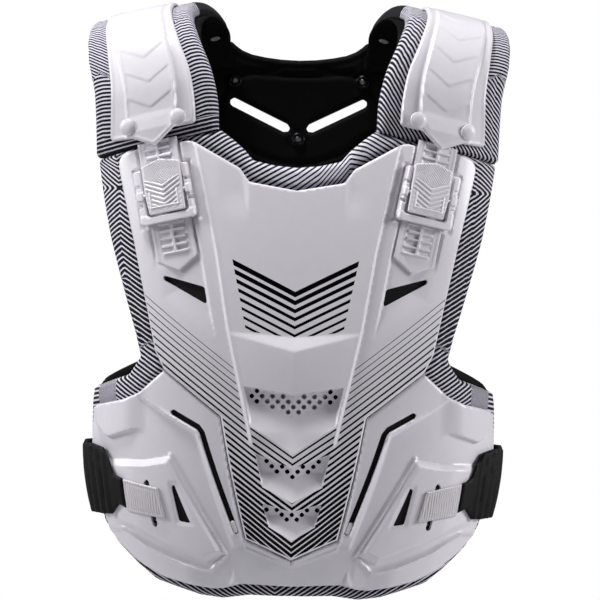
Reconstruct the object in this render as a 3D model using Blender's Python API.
"""Roost deflector: a chest and back guard with arched shoulders, ladder straps and waist elastic.

The frame is the worn one: +Z up, the chest faces -Y, and the origin lies between the shoulders.
Lengths in the tables are millimetres. Each panel is drawn flat, bent onto the body and given its
thickness there. A flat pattern's first coordinate runs across and its second one runs up.
"""

import math
from collections import namedtuple

import bmesh
import bpy
import numpy as np
from mathutils import Matrix, Vector

MM = 0.001
GAP = 0.7

# The torso that the guard goes round: half width, depths in front and behind, and its section.
BODY_HALF_WIDTH = 184.0
FRONT_DEPTH, FRONT_DEPTH_Z, FRONT_BOW = 119.0, -350.0, 0.00037
BACK_DEPTH, BACK_DEPTH_Z, BACK_BOW = 108.0, -250.0, 0.0003
WAIST_Z, WAIST_TAPER = -380.0, 0.0022
SECTION_POWER = 2.5

LINER_THICK = 10.0
PLATE_THICK = 3.0
LINING_THICK = 3.0
PAD_THICK = 12.0
BEVEL = 2.5

# Relief of the moulded plates, above the level of the ladder channel.
WING_RISE = 2.5
CENTRE_RISE = 3.0
KEEL_RISE = 3.0
POCKET_DEPTH = 6.5
HIP_RISE = 5.0
SLOT_ZONE_RISE = 1.5

CHEST_OUTLINE = [
    (0, -158.6), (41, -151.3), (49.5, -139.3), (88, -117.5), (96, -115.8), (101.8, -116.9),
    (139.7, -123.9), (153.5, -125.5), (161.5, -132.5), (160.8, -144), (143.9, -204.6),
    (130.6, -258.6), (121.2, -299.3), (113, -314.8), (62.4, -354.4), (42.8, -460.5), (0, -478),
]
CENTRE_PANEL = [(0, -90), (92, -90), (90.2, -116.8), (70, -210.9), (58.5, -280.8), (26.2, -426),
                (16, -500), (0, -500)]
CHANNEL = [
    (105.5, -98.3), (98.4, -131.6), (91.8, -130.2), (80.4, -184.0), (87.0, -185.4), (80.5, -215.7),
    (66.5, -291.4), (116.8, -254.9), (120.8, -231.5), (129.6, -194.4), (136.2, -195.8),
    (147.6, -142.0), (141.0, -140.6), (148.1, -107.3),
]
WINDOW_CLEARANCE = 0.9
MESH_THICK = 1.2
WINDOW = [(114.6, -233.4), (78.3, -243.1), (75.9, -256.5), (77.5, -257.6), (114.4, -237.6)]
KEEL_TOP = (-281.0, -285.5)
KEEL_BOTTOM = (-282.5, -298.0)
KEEL_HALF_WIDTH = 58.5

# Louvre pockets: each opens under a lip, is pierced down to a V, and runs out to the next stripe band.
Pocket = namedtuple("Pocket", "lip_u lip_z lip_mid_z vee_z vee_mid_z end_u end_z end_mid_z")
POCKETS = [
    Pocket(42.8, -328.0, -334.7, -336.3, -354.1, 36.7, -362.0, -386.8),
    Pocket(32.1, -385.8, -398.5, -394.0, -407.7, 26.1, -415.0, -428.5),
    Pocket(26.3, -428.9, -436.0, -433.5, -444.1, 20.9, -449.4, -461.5),
]
VENT_DIAMETER = 3.6
VENT_SIDES = 6
VENT_PITCH = 8.8
VENT_ROW = 4.4
POCKET_BEVEL = 1.5
LIP_MARGIN = 1.6

BELLY_OUTLINE = [
    (0, -478.8), (43.5, -461.1), (63.1, -355), (113.2, -316), (137, -336.2), (151.7, -342.4),
    (180, -347.5), (196, -350.4), (197, -380), (193, -420), (187.5, -455), (169.6, -473.2),
    (150, -486.9), (128.9, -496.3), (105, -501.5), (81.4, -504.6), (69.7, -503.7), (51.4, -499.8),
    (0, -501.5),
]
HIP_PANEL = [(215, -392), (158, -394.3), (130, -394), (105.7, -389.5), (63, -474), (83.5, -482),
             (120, -470), (150, -456), (215, -440)]
LOWER_BAND = [(215, -440), (165.7, -458), (136.2, -472.3), (110, -482.5), (83.5, -489.5),
              (63.6, -478.8), (58, -520), (215, -520)]
SLOT_ZONE = [(0, -300), (113, -300), (137, -336.2), (109, -356), (84.5, -371), (56, -470),
             (45, -466), (0, -484)]
HIP_FADE_FROM, HIP_FADE_TO = 140.0, 182.0
HIP_BEVEL, BAND_BEVEL = 6.0, 5.0
BAND_SHARE, BAND_SIDE_SHARE = 0.8, 0.3
SLOT_LINE = [(103.8, -352.0), (79.5, -365.6), (51.0, -453.7)]
SLOT_WIDTH = 5.0
HIP_VENT = [(105.4, -415.2), (102.3, -415.2), (91.3, -447.8), (101.4, -446.4)]
HOOK_SLOT_LINE = [(127.6, -413.5), (124.6, -449.5)]

CHEST_LINER_OUTLINE = [
    (0, -138.2), (38.8, -132.1), (46.2, -123.4), (68.5, -105.6), (141, -120.6), (164, -124.6),
    (178, -127), (201, -130.5), (190, -165), (177, -202.9), (167, -227.5), (160, -245.5),
    (145.6, -284.2), (139.8, -304.1), (152.1, -320.1), (180, -327), (201, -331), (205, -345),
    (206, -400), (198, -452), (184, -471), (163.5, -488.5), (148, -500), (101, -511),
    (75, -513), (45.2, -509.8), (12.4, -510.5), (0, -510.3),
]

BACK_OUTLINE = [
    (0, -31.5), (31, -29), (44, -26.5), (53, -23), (59.5, -18.5), (62.5, -15.5), (62.5, -35),
    (66, -37.5), (120, -48.6), (161, -57.6), (157, -100), (149, -180), (145, -262), (144, -296),
    (150, -311), (166, -317), (192, -326), (214, -342), (217, -400), (212, -448), (182, -470),
    (120, -484), (0, -490),
]
BACK_PLATE_OUTLINE = [
    (0, -64), (44, -58), (70, -50), (140, -66), (146, -110), (137, -180), (133, -262),
    (134, -300), (146, -322), (180, -335), (202, -350), (205, -400), (200, -440), (175, -460), (118, -473),
    (0, -479),
]
BACK_SLOT_LINE = [(60.0, -70.5), (12.0, -93.5)]
BACK_SLOT_WIDTH = 8.4
BACK_SNAPS = [("left", -60.3, -51.0), ("right", 60.3, -51.0), ("centre", 0.0, -104.5)]
BACK_SNAP_DIAMETER = 12.0
BACK_SNAP_HEIGHT, BACK_SNAP_SEAT = 1.8, 1.1

# Path of the shoulder pad's upper face at mid strap, from the chest over the crest to the back.
SHOULDER_MID_X = 130.0
SHOULDER_SLOPE = 0.22
SHOULDER_PATH = [(-81.5, -118), (-82.5, -92), (-80.5, -62), (-70, -32), (-47, -8), (-16, 3),
                 (18, 3), (48, -9), (68, -26), (79, -46)]
# Edges at those path points, measured sideways from the body's middle.
ShoulderRow = namedtuple("ShoulderRow", "pad_in pad_out lining_in cap_in cap_out")
SHOULDER_ROWS = [
    ShoulderRow(70.2, 180.5, 72.0, 89.0, 163.2),
    ShoulderRow(71.5, 181.0, 73.0, 89.8, 163.3),
    ShoulderRow(78.0, 182.5, 79.0, 95.0, 163.8),
    ShoulderRow(88.5, 188.5, 88.0, 105.5, 167.8),
    ShoulderRow(95.5, 189.5, 90.0, 112.8, 171.2),
    ShoulderRow(93.5, 186.0, 84.0, 112.0, 168.5),
    ShoulderRow(80.5, 180.0, 77.0, 108.0, 165.0),
    ShoulderRow(69.0, 174.0, 67.5, 104.0, 160.0),
    ShoulderRow(66.0, 169.0, 66.0, 102.0, 158.0),
    ShoulderRow(65.5, 165.0, 63.0, 101.0, 156.0),
]
SHOULDER_HALF_WIDTH_LOW, SHOULDER_HALF_WIDTH_HIGH = 190.0, 215.0
LINING_START = 50.0
LINING_DEPTH = PAD_THICK + 1.1
CAP_START, CAP_END = 14.0, 260.0
CAP_LIFT, CAP_REAR_LIFT = 0.9, 0.5
CAP_TONGUE = [(89.5, 9.8), (106.5, 9.3), (121.9, -4.1), (141.0, 6.5), (160.0, 8.4)]
CAP_PANEL_HALF = 23.0
CAP_PANEL_RISE = 3.2
CAP_PANEL_BEVEL = 4.0
CAP_PANEL_FADE = (110.0, 170.0)
CAP_REAR_FROM, CAP_REAR_TO = 170.0, 210.0
TONGUE_FADE = (12.0, 26.0)
TONGUE_LIFT = 2.4
SNAP_DIAMETER = 14.3
SNAP_HEIGHT = 2.6
SNAP_SEAT = -0.3
CAP_SNAPS = [("outer", 145.3, 17.5), ("inner", 102.8, 17.0)]
EYELET_PLACE = (81.0, 226.0)
EYELET_SIZE = (9.0, 5.5)
EYELET_HEIGHT, EYELET_SEAT = 1.0, 2.0

# Buckle frame: centre of the pin on the chest pattern, and the strap's lean from upright.
BUCKLE_CENTRE = (114.3, -161.5)
STRAP_LEAN = math.radians(12.0)
STRAP_HALF_WIDTH = 18.6
STRAP_TOP, STRAP_END, STRAP_TIP = 47.0, -58.6, -69.5
STRAP_LOW, STRAP_HIGH = 4.2, 6.7
FRAME_HALF_WIDTH, RAIL_WIDTH = 25.2, 5.6
FRAME_TOP, FRAME_BOTTOM, BAR_TOP = 22.5, -25.6, -19.4
FRAME_HIGH = 13.2
BAR_LOW = 9.2
LEDGE_INNER, LEDGE_LOW = 17.5, 7.4
LEVER_INNER, LEVER_OUTER, LEVER_OUTER_LOW = -18.9, 16.7, 14.6
LEVER_BOTTOM, LEVER_SHOULDER, LEVER_APEX = -18.2, 25.0, 29.5
LEVER_LOW, LEVER_HIGH = 10.2, 14.0
LEVER_TAIL_THICK = 1.8
PIN_DIAMETER, PIN_BORE = 3.0, 3.6
PIN_HEIGHT = 10.5
KNUCKLE_RADIUS, KNUCKLE_HALF = 3.1, 14.5
PIN_END_GAP = 1.2
BAR_INSET = 1.0

# Waist elastic: outline on the girth, from the tab round to the back.
WAIST_STRAP = [
    (150.6, -411.0), (160, -407.5), (166, -393), (173, -385), (190, -382), (330, -382),
    (342, -386), (342, -440), (330, -444), (190, -444), (170, -443), (158, -433.5),
    (150.6, -436.5),
]
WAIST_STRAP_THICK = 3.0
WAIST_STRAP_LIFT = 0.9
# The elastic leaves the hip plate's edge and comes back out over the back plate.
WAIST_DIP = 5.6
WAIST_DIP_FROM, WAIST_DIP_RUN = 200.0, 34.0
WAIST_RISE_FROM, WAIST_RISE_RUN = 246.0, 30.0
TAB_OUTLINE = [(149.8, -411.5), (116.8, -418.0), (112.6, -444.7), (149.6, -439.5)]
TAB_THICK = 2.4

# Spacing of the bending lines, three times as wide on the flat middle, and of the lines across.
GIRTH_CUT = 18.0
HEIGHT_CUT = 60.0
FLAT_HALF_WIDTH = 108.0
SHOULDER_CUT = (30.0, 20.0)


def clear_scene():
    for old in list(bpy.data.objects):
        bpy.data.objects.remove(old, do_unlink=True)


def finish(name, colour, roughness, metallic=0.0):
    """One Principled material with the piece's colour, roughness and metallic value."""
    material = bpy.data.materials.new(name)
    material.use_nodes = True
    shader = material.node_tree.nodes["Principled BSDF"]
    shader.inputs["Base Color"].default_value = (*colour, 1.0)
    shader.inputs["Roughness"].default_value = roughness
    shader.inputs["Metallic"].default_value = metallic
    return material


def superellipse(share):
    """Depth share of the body's section at a share of its half width."""
    return np.clip(1 - np.abs(share) ** SECTION_POWER, 0, None) ** (1 / SECTION_POWER)


def front_depth(z):
    return FRONT_DEPTH - FRONT_BOW * (z - FRONT_DEPTH_Z) ** 2


def back_depth(z):
    return BACK_DEPTH - BACK_BOW * (z - BACK_DEPTH_Z) ** 2


def half_width(z):
    return BODY_HALF_WIDTH - WAIST_TAPER * np.clip(WAIST_Z - z, 0, None) ** 2


# The section as a table of unit points against the length walked from the front's middle.
ANGLES = np.linspace(0, math.pi, 1441)
UNIT_X = np.abs(np.sin(ANGLES)) ** (2 / SECTION_POWER)
UNIT_Y = np.sign(np.cos(ANGLES)) * np.abs(np.cos(ANGLES)) ** (2 / SECTION_POWER)
SECTION_X = BODY_HALF_WIDTH * UNIT_X
SECTION_Y = np.where(UNIT_Y > 0, FRONT_DEPTH, BACK_DEPTH) * -UNIT_Y
STEPS = np.hypot(np.diff(SECTION_X), np.diff(SECTION_Y))
GIRTH = np.concatenate([[0.0], np.cumsum(STEPS)])
HALF_GIRTH = GIRTH[-1]


def section_point(girth, z):
    """Point of the body's section, walked from the front's middle; negative walks to -X."""
    walked = np.abs(girth)
    x = np.sign(girth) * np.interp(walked, GIRTH, UNIT_X) * half_width(z)
    unit = np.interp(walked, GIRTH, UNIT_Y)
    depth = np.where(unit > 0, front_depth(z), back_depth(z))
    return np.stack([x, -unit * depth], axis=-1)


def on_girth(flat, off):
    """Bend (girth, height) points onto the body and move them out by off."""
    girth, z = flat[:, 0], flat[:, 1]
    point = section_point(girth, z)
    along = section_point(girth + 1.5, z) - section_point(girth - 1.5, z)
    along /= np.linalg.norm(along, axis=1)[:, None]
    normal = np.stack([along[:, 1], -along[:, 0]], axis=-1)
    out = point + normal * np.asarray(off)[:, None]
    return np.column_stack([out, z])


def on_back(flat, off):
    """Bend (distance from the spine, height) points onto the back."""
    across = flat[:, 0]
    girth = np.where(across >= 0, HALF_GIRTH - across, -HALF_GIRTH - across)
    z = flat[:, 1]
    point = section_point(girth, z)
    near_spine = np.abs(across) < 1.5
    along = section_point(girth - 1.5, z) - section_point(girth + 1.5, z)
    along /= np.linalg.norm(along, axis=1)[:, None] + 1e-12
    normal = np.stack([-along[:, 1], along[:, 0]], axis=-1)
    normal[near_spine] = (0.0, 1.0)
    out = point + normal * np.asarray(off)[:, None]
    return np.column_stack([out, z])


def smooth_path(points):
    """Dense points on a smooth curve through the given ones."""
    points = np.array(points, float)
    padded = np.vstack([2 * points[0] - points[1], points, 2 * points[-1] - points[-2]])
    t = np.linspace(0, 1, 12, endpoint=False)[:, None]
    runs = []
    for a, b, c, d in zip(padded, padded[1:], padded[2:], padded[3:]):
        runs.append(0.5 * (2 * b + (c - a) * t + (2 * a - 5 * b + 4 * c - d) * t ** 2
                           + (3 * b - a - 3 * c + d) * t ** 3))
    return np.vstack([*runs, points[-1:]])


SADDLE = smooth_path(SHOULDER_PATH)
SADDLE_LENGTH = np.concatenate([[0.0], np.cumsum(np.linalg.norm(np.diff(SADDLE, axis=0), axis=1))])
ROW_LENGTH = SADDLE_LENGTH[::12]
SHOULDER_END = SADDLE_LENGTH[-1]


def shoulder_edge(field, length):
    """Sideways place of one of the shoulder's edges at a length along its path."""
    dense = smooth_path([(row_length, getattr(row, field))
                         for row_length, row in zip(ROW_LENGTH, SHOULDER_ROWS)])
    return np.interp(length, dense[:, 0], dense[:, 1])


def saddle_point(x, length):
    """Point of the shoulder's upper face; past its ends the path runs on straight."""
    y = np.interp(length, SADDLE_LENGTH, SADDLE[:, 0])
    z = np.interp(length, SADDLE_LENGTH, SADDLE[:, 1])
    z = z + np.clip(length, None, 0) - np.clip(length - SHOULDER_END, 0, None)
    rise = np.sin(np.clip(length / SHOULDER_END, 0, 1) * math.pi)
    width = SHOULDER_HALF_WIDTH_LOW + (SHOULDER_HALF_WIDTH_HIGH - SHOULDER_HALF_WIDTH_LOW) * rise
    wrap = superellipse(x / width) / superellipse(SHOULDER_MID_X / width)
    return np.stack([x, y * wrap, z - SHOULDER_SLOPE * (x - SHOULDER_MID_X)], axis=-1)


def on_shoulder(side):
    """Bend (sideways place, length along the shoulder) points onto one shoulder."""
    def place(flat, off):
        x, length = flat[:, 0], flat[:, 1]
        across = saddle_point(x + 1, length) - saddle_point(x - 1, length)
        along = saddle_point(x, length + 1) - saddle_point(x, length - 1)
        normal = np.cross(across, along)
        normal /= np.linalg.norm(normal, axis=1)[:, None]
        point = saddle_point(x, length) + normal * np.asarray(off)[:, None]
        return point * (side, 1, 1)
    return place


def on_buckle(side):
    """Bend points drawn about the buckle's pin onto the chest; the strap leans out at its top."""
    def place(flat, off):
        lean_cos, lean_sin = math.cos(STRAP_LEAN), math.sin(STRAP_LEAN)
        girth = BUCKLE_CENTRE[0] + flat[:, 0] * lean_cos + flat[:, 1] * lean_sin
        z = BUCKLE_CENTRE[1] - flat[:, 0] * lean_sin + flat[:, 1] * lean_cos
        return on_girth(np.stack([girth, z], axis=-1), off) * (side, 1, 1)
    return place


def inside_distance(flat, polygon):
    """Distance to a polygon's edge, positive inside it."""
    corners = np.array(polygon, float)
    ends = np.roll(corners, -1, axis=0)
    nearest = np.full(len(flat), np.inf)
    inside = np.zeros(len(flat), bool)
    for start, end in zip(corners, ends):
        run = end - start
        share = np.clip(((flat - start) @ run) / (run @ run), 0, 1)
        nearest = np.minimum(nearest, np.linalg.norm(flat - start - share[:, None] * run, axis=1))
        spans = (start[1] > flat[:, 1]) != (end[1] > flat[:, 1])
        crossing = start[0] + run[0] * (flat[:, 1] - start[1]) / (run[1] or 1e-9)
        inside ^= spans & (flat[:, 0] < crossing)
    return np.where(inside, nearest, -nearest)


def raised(flat, polygon, bevel=BEVEL):
    """Share of full height at each point of a raised region with sloping sides."""
    return np.clip(inside_distance(flat, polygon) / bevel, 0, 1)


def folded(flat):
    """The same points on the +X half."""
    return np.column_stack([np.abs(flat[:, 0]), flat[:, 1]])


def both_sides(half):
    """Whole outline from its +X half, which starts and ends on the middle line."""
    left = [(-a, b) for a, b in reversed(half) if a > 0]
    return list(half) + left


def ramp(z, top, bottom):
    """0 above the top line, 1 below the bottom line, straight between."""
    return np.clip((top - z) / np.maximum(top - bottom, 0.01), 0, 1)


def pocket_outline(pocket):
    half = [(0, pocket.lip_mid_z), (pocket.lip_u, pocket.lip_z), (pocket.end_u, pocket.end_z),
            (0, pocket.end_mid_z)]
    return both_sides(half)


def pocket_line(flat, edge_u, edge_z, mid_z):
    return mid_z + (edge_z - mid_z) * np.abs(flat[:, 0]) / edge_u


def chest_height(flat):
    """Relief of the chest plate: raised middle, keel, channels for the ladders, louvre pockets."""
    half = folded(flat)
    height = WING_RISE * (1 - raised(half, CHANNEL))
    height += CENTRE_RISE * raised(flat, both_sides(CENTRE_PANEL))
    share = np.abs(flat[:, 0]) / KEEL_HALF_WIDTH
    top = KEEL_TOP[1] + (KEEL_TOP[0] - KEEL_TOP[1]) * share
    bottom = KEEL_BOTTOM[1] + (KEEL_BOTTOM[0] - KEEL_BOTTOM[1]) * share
    keel = ramp(flat[:, 1], top, bottom) * np.clip(1 - share, 0, 1)
    height += KEEL_RISE * keel * raised(flat, both_sides(CENTRE_PANEL))
    for pocket in POCKETS:
        vee = pocket_line(flat, pocket.lip_u, pocket.vee_z, pocket.vee_mid_z)
        end = pocket_line(flat, pocket.end_u, pocket.end_z, pocket.end_mid_z)
        depth = POCKET_DEPTH * (1 - ramp(flat[:, 1], vee, end))
        height -= depth * raised(flat, pocket_outline(pocket), POCKET_BEVEL)
    return np.maximum(height, 0)


def belly_height(flat):
    """Relief of the belly plate: hip panel, lower band, and the level zone round the slot."""
    half = folded(flat)
    fade = np.clip((HIP_FADE_TO - half[:, 0]) / (HIP_FADE_TO - HIP_FADE_FROM), 0, 1)
    height = SLOT_ZONE_RISE * raised(half, SLOT_ZONE)
    height += HIP_RISE * raised(half, HIP_PANEL, HIP_BEVEL) * fade
    side = BAND_SIDE_SHARE + (1 - BAND_SIDE_SHARE) * fade
    height += BAND_SHARE * HIP_RISE * raised(half, LOWER_BAND, BAND_BEVEL) * side
    return height


def vent_holes():
    """Centres of the round holes between each pocket's lip and its V."""
    centres = []
    for pocket in POCKETS:
        rows = int((pocket.lip_z - pocket.vee_mid_z) / VENT_ROW) + 1
        for row in range(rows):
            z = pocket.lip_z - (row + 1) * VENT_ROW
            for column in range(-5, 6):
                u = (column + 0.5 * (row % 2)) * VENT_PITCH
                share = abs(u) / pocket.lip_u
                lip = pocket.lip_mid_z + (pocket.lip_z - pocket.lip_mid_z) * share
                vee = pocket.vee_mid_z + (pocket.vee_z - pocket.vee_mid_z) * share
                margin = VENT_DIAMETER / 2
                if share < 0.9 and vee + margin < z < lip - margin - LIP_MARGIN:
                    centres.append((u, z))
    return centres


def round_loop(centre, diameter, sides):
    angles = np.arange(sides) * 2 * math.pi / sides
    return [(centre[0] + diameter / 2 * math.cos(a), centre[1] + diameter / 2 * math.sin(a))
            for a in angles]


def slot_loop(line, width, end_sides=4):
    """Closed outline of a slot with round ends along a line of two or more points."""
    points = [Vector(p) for p in line]
    left, right = [], []
    for i, point in enumerate(points):
        before = points[max(i - 1, 0)]
        after = points[min(i + 1, len(points) - 1)]
        run = (after - before).normalized()
        side = Vector((-run.y, run.x)) * width / 2
        left.append(point + side)
        right.append(point - side)
    loop = list(left)
    for centre, start in ((points[-1], left[-1]), (points[0], right[0])):
        if centre is points[0]:
            loop += list(reversed(right))
        spoke = start - centre
        for step in range(1, end_sides):
            turn = Matrix.Rotation(-math.pi * step / end_sides, 2)
            loop.append(centre + turn @ spoke)
    return [(p.x, p.y) for p in loop]


def mirrored(loops):
    """The loops and their copies on the -X half."""
    return [*loops, *[[(-a, b) for a, b in loop] for loop in loops]]


def cut(bm, point, normal, faces=None):
    chosen = bm.faces[:] if faces is None else faces
    edges = {e for f in chosen for e in f.edges}
    verts = {v for f in chosen for v in f.verts}
    bmesh.ops.bisect_plane(bm, geom=[*verts, *edges, *chosen], dist=0.05,
                           plane_co=(*point, 0), plane_no=(*normal, 0))


def crease(bm, start, end):
    """Cut only the faces that a straight feature line crosses."""
    start, end = Vector(start), Vector(end)
    length = (end - start).length
    run = (end - start).normalized()
    normal = Vector((-run.y, run.x))
    low = Vector((min(start.x, end.x), min(start.y, end.y)))
    high = Vector((max(start.x, end.x), max(start.y, end.y)))
    near = []
    for face in bm.faces:
        xs = [v.co.x for v in face.verts]
        ys = [v.co.y for v in face.verts]
        if max(xs) < low.x or min(xs) > high.x or max(ys) < low.y or min(ys) > high.y:
            continue
        sides = [normal.dot(v.co.xy - start) for v in face.verts]
        ahead = [run.dot(v.co.xy - start) for v in face.verts]
        if min(sides) < -0.05 and max(sides) > 0.05 and max(ahead) > 0 and min(ahead) < length:
            near.append(face)
    if near:
        cut(bm, start, normal, near)


def grid_lines(values, axis, step):
    """Places of the bending lines between the lowest and highest value."""
    first, last = math.floor(min(values) / step) + 1, math.ceil(max(values) / step)
    lines = [k * step for k in range(first, last)]
    if axis == 0 and step == GIRTH_CUT:
        return [v for v in lines if abs(v) >= FLAT_HALF_WIDTH or (v / step) % 3 == 0]
    return lines


def on_bend(edge, step):
    """Whether an edge of the filling lies along one of the bending lines."""
    for axis in (0, 1):
        first, second = [v.co[axis] / step[axis] for v in edge.verts]
        if abs(first - second) < 0.001 and abs(first - round(first)) < 0.001:
            return True
    return False


def join_fill(bm, mark):
    """Take out the filling's own diagonals where that leaves one plain face."""
    for edge in [e for e in bm.edges if e[mark]]:
        if not edge.is_valid or len(edge.link_faces) != 2:
            continue
        first, second = edge.link_faces
        if sum(e in second.edges for e in first.edges) == 1:
            bmesh.utils.face_join([first, second], True)
    spare = []
    for vert in bm.verts:
        if len(vert.link_edges) == 2:
            runs = [(e.other_vert(vert).co - vert.co).normalized() for e in vert.link_edges]
            if runs[0].dot(runs[1]) < -0.99999:
                spare.append(vert)
    bmesh.ops.dissolve_verts(bm, verts=spare)


def flat_panel(outline, holes=(), step=(GIRTH_CUT, HEIGHT_CUT), creases=()):
    """Fill an outline with its holes in the flat and cut it along the bending lines."""
    bm = bmesh.new()
    mark = bm.edges.layers.int.new("fill")
    edges = []
    for loop in (outline, *holes):
        verts = [bm.verts.new((a, b, 0)) for a, b in loop]
        edges += [bm.edges.new((verts[i - 1], verts[i])) for i in range(len(verts))]
    bmesh.ops.triangle_fill(bm, use_beauty=True, use_dissolve=False, edges=edges, normal=(0, 0, 1))
    for edge in bm.edges:
        edge[mark] = int(len(edge.link_faces) == 2 and not on_bend(edge, step))
    for axis in (0, 1):
        direction = (1, 0) if axis == 0 else (0, 1)
        for line in grid_lines([point[axis] for point in outline], axis, step[axis]):
            cut(bm, (line, 0) if axis == 0 else (0, line), direction)
    join_fill(bm, mark)
    for line in creases:
        for start, end in zip(line, line[1:]):
            crease(bm, start, end)
    bmesh.ops.remove_doubles(bm, verts=bm.verts[:], dist=0.02)
    bmesh.ops.triangulate(bm, faces=bm.faces[:])
    return bm


def add_object(name, verts, faces, material, smooth_angle=None):
    mesh = bpy.data.meshes.new(name)
    mesh.from_pydata([tuple(v) for v in verts], [], faces)
    fixed = bmesh.new()
    fixed.from_mesh(mesh)
    bmesh.ops.recalc_face_normals(fixed, faces=fixed.faces[:])
    fixed.to_mesh(mesh)
    fixed.free()
    if smooth_angle is not None:
        mesh.shade_smooth()
        mesh.set_sharp_from_angle(angle=math.radians(smooth_angle))
    mesh.materials.append(material)
    obj = bpy.data.objects.new(name, mesh)
    bpy.context.collection.objects.link(obj)
    return obj


def bent_slab(name, bm, place, low, high, material):
    """Close a flat panel into a slab between two offsets from the surface it is bent onto."""
    bm.verts.ensure_lookup_table()
    bm.verts.index_update()
    flat = np.array([v.co.xy for v in bm.verts])
    count = len(flat)
    low_off = low(flat) if callable(low) else np.full(count, float(low))
    high_off = high(flat) if callable(high) else np.full(count, float(high))
    points = np.vstack([place(flat, high_off), place(flat, low_off)]) * MM
    faces = []
    for face in bm.faces:
        ring = [v.index for v in face.verts]
        faces.append(ring)
        faces.append([i + count for i in reversed(ring)])
    for edge in bm.edges:
        if len(edge.link_faces) == 1:
            loop = next(l for l in edge.link_faces[0].loops if l.edge == edge)
            a, b = loop.vert.index, loop.link_loop_next.vert.index
            faces.append([b, a, a + count, b + count])
    bm.free()
    return add_object(name, points, faces, material, 40)


def disc(name, place, centre, size, low, height, material, sides=16, dome=0.8):
    """Round button: a short drum with a bevelled rim and a flat top."""
    middle = place(np.array([centre], float), np.array([low]))[0]
    above = place(np.array([centre], float), np.array([low + 1.0]))[0]
    normal = Vector(above - middle).normalized()
    across = place(np.array([centre], float) + (1.0, 0), np.array([low]))[0] - middle
    across = Vector(across)
    across = (across - normal * across.dot(normal)).normalized()
    up = normal.cross(across)
    rows = ((1.0, 0.0), (1.0, height - dome), (1.0 - 2 * dome / size[0], height))
    points = []
    for scale, rise in rows:
        for step in range(sides):
            angle = 2 * math.pi * step / sides
            offset = across * math.cos(angle) * size[0] / 2 + up * math.sin(angle) * size[1] / 2
            points.append((Vector(middle) + offset * scale + normal * rise) * MM)
    faces = [list(reversed(range(sides))), list(range(2 * sides, 3 * sides))]
    for row in range(2):
        for step in range(sides):
            a, b = row * sides + step, row * sides + (step + 1) % sides
            faces.append([a, b, b + sides, a + sides])
    return add_object(name, points, faces, material)


def plate_creases(polygon, inset):
    """Feature lines along a raised region's edge and along the foot of its slope."""
    loop = [Vector(p) for p in polygon]
    middle = []
    area = sum(a.x * b.y - b.x * a.y for a, b in zip(loop, loop[1:] + loop[:1]))
    turn = 1 if area > 0 else -1
    for before, point, after in zip(loop[-1:] + loop[:-1], loop, loop[1:] + loop[:1]):
        first, second = (point - before).normalized(), (after - point).normalized()
        bisector = Vector((-first.y - second.y, first.x + second.x)) * turn
        bisector.normalize()
        lean = max(bisector.dot(Vector((-first.y, first.x)) * turn), 0.4)
        middle.append(point + bisector * inset / lean)
    return [[tuple(p) for p in ring + ring[:1]] for ring in (loop, middle)]


def make_chest(white, mesh_black, cloth):
    """Front pad, moulded chest plate and the two black mesh windows."""
    liner = flat_panel(both_sides(CHEST_LINER_OUTLINE))
    bent_slab("chest_liner", liner, on_girth, -LINER_THICK, 0, cloth)
    holes = mirrored([WINDOW]) + [round_loop(c, VENT_DIAMETER, VENT_SIDES) for c in vent_holes()]
    lines = mirrored(plate_creases(CHANNEL, BEVEL))
    lines += mirrored([ring[1:6] for ring in plate_creases(CENTRE_PANEL, BEVEL)])
    for pocket in POCKETS:
        lines += plate_creases(pocket_outline(pocket), POCKET_BEVEL)
    for edge_z, middle_z in (KEEL_TOP, KEEL_BOTTOM):
        lines.append([(KEEL_HALF_WIDTH, edge_z), (0, middle_z), (-KEEL_HALF_WIDTH, edge_z)])
    plate = flat_panel(both_sides(CHEST_OUTLINE), holes, creases=lines)
    bent_slab("chest_plate", plate, on_girth,
              lambda flat: chest_height(flat) + GAP,
              lambda flat: chest_height(flat) + GAP + PLATE_THICK, white)
    inner = plate_creases(WINDOW, WINDOW_CLEARANCE)[1][:-1]
    for name, side in SIDES:
        loop = [(side * a, b) for a, b in inner]
        bent_slab(f"window_mesh_{name}", flat_panel(loop), on_girth, GAP, GAP + MESH_THICK,
                  mesh_black)


def make_belly(white, tab_white, elastic):
    """Hip and belly plate with its slots, the waist elastic and the tabs that hold it."""
    slots = [slot_loop(SLOT_LINE, SLOT_WIDTH), HIP_VENT, slot_loop(HOOK_SLOT_LINE, SLOT_WIDTH)]
    lines = mirrored(plate_creases(HIP_PANEL, HIP_BEVEL)
                     + plate_creases(LOWER_BAND, BAND_BEVEL)[:1]
                     + plate_creases(SLOT_ZONE, BEVEL)[:1])
    plate = flat_panel(both_sides(BELLY_OUTLINE), mirrored(slots), creases=lines)
    bent_slab("belly_plate", plate, on_girth,
              lambda flat: belly_height(flat) + GAP,
              lambda flat: belly_height(flat) + GAP + PLATE_THICK, white)

    def over_plate(flat):
        return belly_height(flat) + 2 * GAP + PLATE_THICK

    def strap_low(flat):
        girth = np.abs(flat[:, 0])
        fade = np.clip((HIP_FADE_TO - girth) / (HIP_FADE_TO - HIP_FADE_FROM), 0, 1)
        front = 2 * GAP + PLATE_THICK + WAIST_STRAP_LIFT + HIP_RISE * fade
        dip = np.clip((girth - WAIST_DIP_FROM) / WAIST_DIP_RUN, 0, 1)
        dip -= np.clip((girth - WAIST_RISE_FROM) / WAIST_RISE_RUN, 0, 1)
        return front - WAIST_DIP * dip

    for name, side in SIDES:
        strap = flat_panel([(side * a, b) for a, b in WAIST_STRAP])
        bent_slab(f"waist_strap_{name}", strap, on_girth, strap_low,
                  lambda flat: strap_low(flat) + WAIST_STRAP_THICK, elastic)
        tab = flat_panel([(side * a, b) for a, b in TAB_OUTLINE], step=(7.0, 15.0))
        bent_slab(f"strap_tab_{name}", tab, on_girth, over_plate,
                  lambda flat: over_plate(flat) + TAB_THICK, tab_white)


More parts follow.
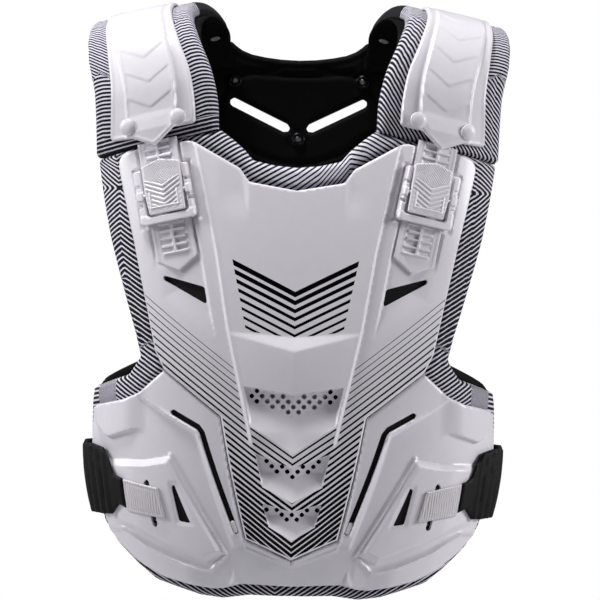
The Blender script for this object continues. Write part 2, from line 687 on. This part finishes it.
def make_back(white, foam, dark_metal):
    """Black foam back pad with its two slots, the plain back plate and three snaps."""
    slots = mirrored([slot_loop(BACK_SLOT_LINE, BACK_SLOT_WIDTH)])
    liner = flat_panel(both_sides(BACK_OUTLINE), slots)
    bent_slab("back_liner", liner, on_back, -LINER_THICK, 0, foam)
    plate = flat_panel(both_sides(BACK_PLATE_OUTLINE), slots)
    bent_slab("back_plate", plate, on_back, GAP, GAP + PLATE_THICK, white)
    for name, across, z in BACK_SNAPS:
        disc(f"back_snap_{name}", on_back_inside, (across, z), (BACK_SNAP_DIAMETER,) * 2,
             LINER_THICK + BACK_SNAP_SEAT, BACK_SNAP_HEIGHT, dark_metal, 12, 0.5)


def on_back_inside(flat, off):
    return on_back(flat, -np.asarray(off))


def shoulder_outline(inner, outer, start, end):
    """Outline of a strip along the shoulder between two of its edges."""
    step = SHOULDER_CUT[1]
    rows = np.arange(math.floor(start / step) + 1, math.ceil(end / step)) * step
    lengths = [start, *rows, end]
    left = [(float(shoulder_edge(inner, s)), float(s)) for s in lengths]
    right = [(float(shoulder_edge(outer, s)), float(s)) for s in lengths]
    return right + list(reversed(left))


def falling(value, start, end):
    """1 up to the start, 0 from the end on, straight between."""
    return np.clip((end - value) / (end - start), 0, 1)


def make_shoulder(name, side, white, cloth, foam, grey):
    """One shoulder: striped pad, black lining under it, moulded cap, two snaps and an eyelet."""
    place = on_shoulder(side)
    pad = flat_panel(shoulder_outline("pad_in", "pad_out", 0, SHOULDER_END), step=SHOULDER_CUT)
    bent_slab(f"shoulder_pad_{name}", pad, place, -PAD_THICK, 0, cloth)
    lining_loop = shoulder_outline("lining_in", "pad_out", LINING_START, SHOULDER_END)
    lining = flat_panel(lining_loop, step=SHOULDER_CUT)
    bent_slab(f"shoulder_lining_{name}", lining, place, -LINING_DEPTH - LINING_THICK,
              -LINING_DEPTH, foam)
    cap_loop = shoulder_outline("cap_in", "cap_out", CAP_START, CAP_END) + CAP_TONGUE

    def panel(flat):
        axis = (shoulder_edge("cap_in", flat[:, 1]) + shoulder_edge("cap_out", flat[:, 1])) / 2
        edge = CAP_PANEL_HALF - np.abs(flat[:, 0] - axis)
        fade = falling(flat[:, 1], *CAP_PANEL_FADE)
        tongue = falling(flat[:, 1], *TONGUE_FADE)
        rear = CAP_REAR_LIFT * (1 - falling(flat[:, 1], CAP_REAR_FROM, CAP_REAR_TO))
        slope = np.clip(edge / CAP_PANEL_BEVEL, 0, 1)
        return rear + (CAP_PANEL_RISE * fade + TONGUE_LIFT * tongue) * slope

    ridges = []
    top_half = CAP_PANEL_HALF - CAP_PANEL_BEVEL
    for offset in (-CAP_PANEL_HALF, -top_half, top_half, CAP_PANEL_HALF):
        lengths = np.linspace(-6, 180, 4)
        axis = (shoulder_edge("cap_in", lengths) + shoulder_edge("cap_out", lengths)) / 2
        ridges.append([(float(x), float(s)) for x, s in zip(axis + offset, lengths)])
    cap = flat_panel(cap_loop, step=SHOULDER_CUT, creases=ridges)
    bent_slab(f"shoulder_cap_{name}", cap, place,
              lambda flat: panel(flat) + CAP_LIFT,
              lambda flat: panel(flat) + CAP_LIFT + PLATE_THICK, white)
    for snap, x, length in CAP_SNAPS:
        under_snap = np.array(round_loop((x, length), SNAP_DIAMETER, 8))
        foot = float(panel(under_snap).max()) + CAP_LIFT + PLATE_THICK + SNAP_SEAT
        disc(f"cap_snap_{snap}_{name}", place, (x, length), (SNAP_DIAMETER,) * 2, foot,
             SNAP_HEIGHT, white)
    under = -LINING_DEPTH - LINING_THICK - EYELET_SEAT
    disc(f"lining_eyelet_{name}", place, EYELET_PLACE, EYELET_SIZE, under, EYELET_HEIGHT, grey, 12, 0.3)


def make_buckle(name, side, white):
    """Ladder strap, buckle base, its pin, and the lever that turns on the pin."""
    place = on_buckle(side)
    strap_loop = [(STRAP_HALF_WIDTH, STRAP_TOP), (-STRAP_HALF_WIDTH, STRAP_TOP),
                  (-STRAP_HALF_WIDTH, STRAP_END), (0, STRAP_TIP), (STRAP_HALF_WIDTH, STRAP_END)]
    bent_slab(f"ladder_strap_{name}", flat_panel(strap_loop, step=(9.3, 12.0)), place,
              STRAP_LOW, STRAP_HIGH, white)
    base = boxes_on(place, [
        (-FRAME_HALF_WIDTH, -FRAME_HALF_WIDTH + RAIL_WIDTH, FRAME_BOTTOM, FRAME_TOP,
         STRAP_LOW, FRAME_HIGH),
        (FRAME_HALF_WIDTH - RAIL_WIDTH, FRAME_HALF_WIDTH, FRAME_BOTTOM, FRAME_TOP,
         STRAP_LOW, FRAME_HIGH),
        (LEDGE_INNER, FRAME_HALF_WIDTH - RAIL_WIDTH + 0.5, FRAME_BOTTOM + 1.2, FRAME_TOP - 0.6,
         LEDGE_LOW, FRAME_HIGH - 0.3),
        (-FRAME_HALF_WIDTH + BAR_INSET, FRAME_HALF_WIDTH - BAR_INSET, FRAME_BOTTOM + 0.6, BAR_TOP,
         BAR_LOW, FRAME_HIGH - 0.6),
    ])
    centre, across, up, out = buckle_axes(place)
    bore = rod(centre, across, PIN_BORE / 2, FRAME_HALF_WIDTH + 6)
    union(f"buckle_base_{name}", base, white, bore)
    pin = rod(centre, across, PIN_DIAMETER / 2, FRAME_HALF_WIDTH - PIN_END_GAP)
    add_object(f"buckle_pin_{name}", *pin, white, 40)
    lever = lever_solids(centre, across, up, out)
    lever = union(f"buckle_lever_{name}", lever, white, bore)
    origin = Vector(centre) * MM
    lever.data.transform(Matrix.Translation(-origin))
    lever.location = origin


def buckle_axes(place):
    """Pin centre, and the directions across, up the strap and out of the chest there."""
    spot = np.zeros((1, 2))
    centre = place(spot, np.array([PIN_HEIGHT]))[0]
    sides = np.array([[FRAME_HALF_WIDTH, 0.0], [-FRAME_HALF_WIDTH, 0.0]])
    ends = place(sides, np.full(2, PIN_HEIGHT))
    across = Vector(ends[0] - ends[1]).normalized()
    tips = place(np.array([[0.0, 20.0], [0.0, -20.0]]), np.full(2, PIN_HEIGHT))
    up = Vector(tips[0] - tips[1])
    up = (up - across * up.dot(across)).normalized()
    out = across.cross(up)
    if out.y > 0:
        out = -out
    return Vector(centre), across, up, out


def boxes_on(place, rows):
    """Solid blocks on the chest; a row gives across, along and offset limits."""
    solids = []
    for a0, a1, b0, b1, low, high in rows:
        flat = np.array([(a0, b0), (a1, b0), (a1, b1), (a0, b1)], float)
        points = np.vstack([place(flat, np.full(4, low)), place(flat, np.full(4, high))])
        faces = [[3, 2, 1, 0], [4, 5, 6, 7]]
        faces += [[i, (i + 1) % 4, (i + 1) % 4 + 4, i + 4] for i in range(4)]
        solids.append((points * MM, faces))
    return solids


def rod(centre, axis, radius, half, sides=12):
    """Round rod about a centre along an axis."""
    helper = Vector((0, 0, 1))
    first = axis.cross(helper).normalized()
    second = axis.cross(first)
    points = []
    for end in (-half, half):
        for step in range(sides):
            angle = 2 * math.pi * step / sides
            points.append((centre + axis * end + first * math.cos(angle) * radius
                           + second * math.sin(angle) * radius) * MM)
    faces = [list(reversed(range(sides))), list(range(sides, 2 * sides))]
    faces += [[i, (i + 1) % sides, (i + 1) % sides + sides, i + sides] for i in range(sides)]
    return points, faces


def lever_solids(centre, across, up, out):
    """Lever plate with a thin tail and a knuckle round the pin."""
    thick = LEVER_HIGH - LEVER_LOW
    low = LEVER_LOW - PIN_HEIGHT
    middle = (LEVER_INNER + LEVER_OUTER) / 2
    outline = [(LEVER_OUTER_LOW, LEVER_BOTTOM), (LEVER_OUTER, 0), (LEVER_OUTER, LEVER_SHOULDER),
               (middle, LEVER_APEX), (LEVER_INNER, LEVER_SHOULDER), (LEVER_INNER, 0),
               (LEVER_INNER, LEVER_BOTTOM)]
    points = []
    for top in (False, True):
        for a, b in outline:
            tail = thick - LEVER_TAIL_THICK if b < 0 else 0
            rise = low + thick if top else low + tail
            points.append((centre + across * a + up * b + out * rise) * MM)
    count = len(outline)
    faces = [[0, 1, 5, 6], [1, 2, 3, 4, 5], list(range(count, 2 * count))]
    faces += [[i, (i + 1) % count, (i + 1) % count + count, i + count] for i in range(count)]
    knuckle = rod(centre, across, KNUCKLE_RADIUS, KNUCKLE_HALF, 14)
    return [(points, faces), knuckle]


def union(name, solids, material, cutter):
    """Join closed solids into one body with exact Booleans, then take the cutter away."""
    parts = [add_object(f"{name}_{index}", *solid, material) for index, solid in enumerate(solids)]
    body = parts[0]
    body.name = name
    body.data.name = name
    drill = add_object(f"{name}_bore", *cutter, material)
    for tool, operation in [*[(part, "UNION") for part in parts[1:]], (drill, "DIFFERENCE")]:
        modifier = body.modifiers.new(operation.title(), "BOOLEAN")
        modifier.operation = operation
        modifier.object = tool
        modifier.solver = "EXACT"
        tool.hide_render = True
        tool.display_type = "WIRE"
    return body


SIDES = (("left", -1), ("right", 1))


def main():
    clear_scene()
    white = finish("white_moulded_plastic", (0.78, 0.77, 0.80), 0.3)
    cloth = finish("striped_cloth", (0.32, 0.31, 0.35), 0.85)
    foam = finish("black_foam", (0.012, 0.012, 0.014), 0.8)
    mesh_black = finish("black_mesh", (0.02, 0.02, 0.022), 0.7)
    elastic = finish("black_elastic", (0.018, 0.018, 0.02), 0.75)
    tab_white = finish("white_textured_rubber", (0.62, 0.61, 0.63), 0.55)
    dark_metal = finish("blackened_metal", (0.03, 0.03, 0.035), 0.35, 0.6)
    grey = finish("grey_plastic", (0.4, 0.4, 0.42), 0.5)
    make_chest(white, mesh_black, cloth)
    make_belly(white, tab_white, elastic)
    make_back(white, foam, dark_metal)
    for name, side in SIDES:
        make_shoulder(name, side, white, cloth, foam, grey)
        make_buckle(name, side, white)


main()
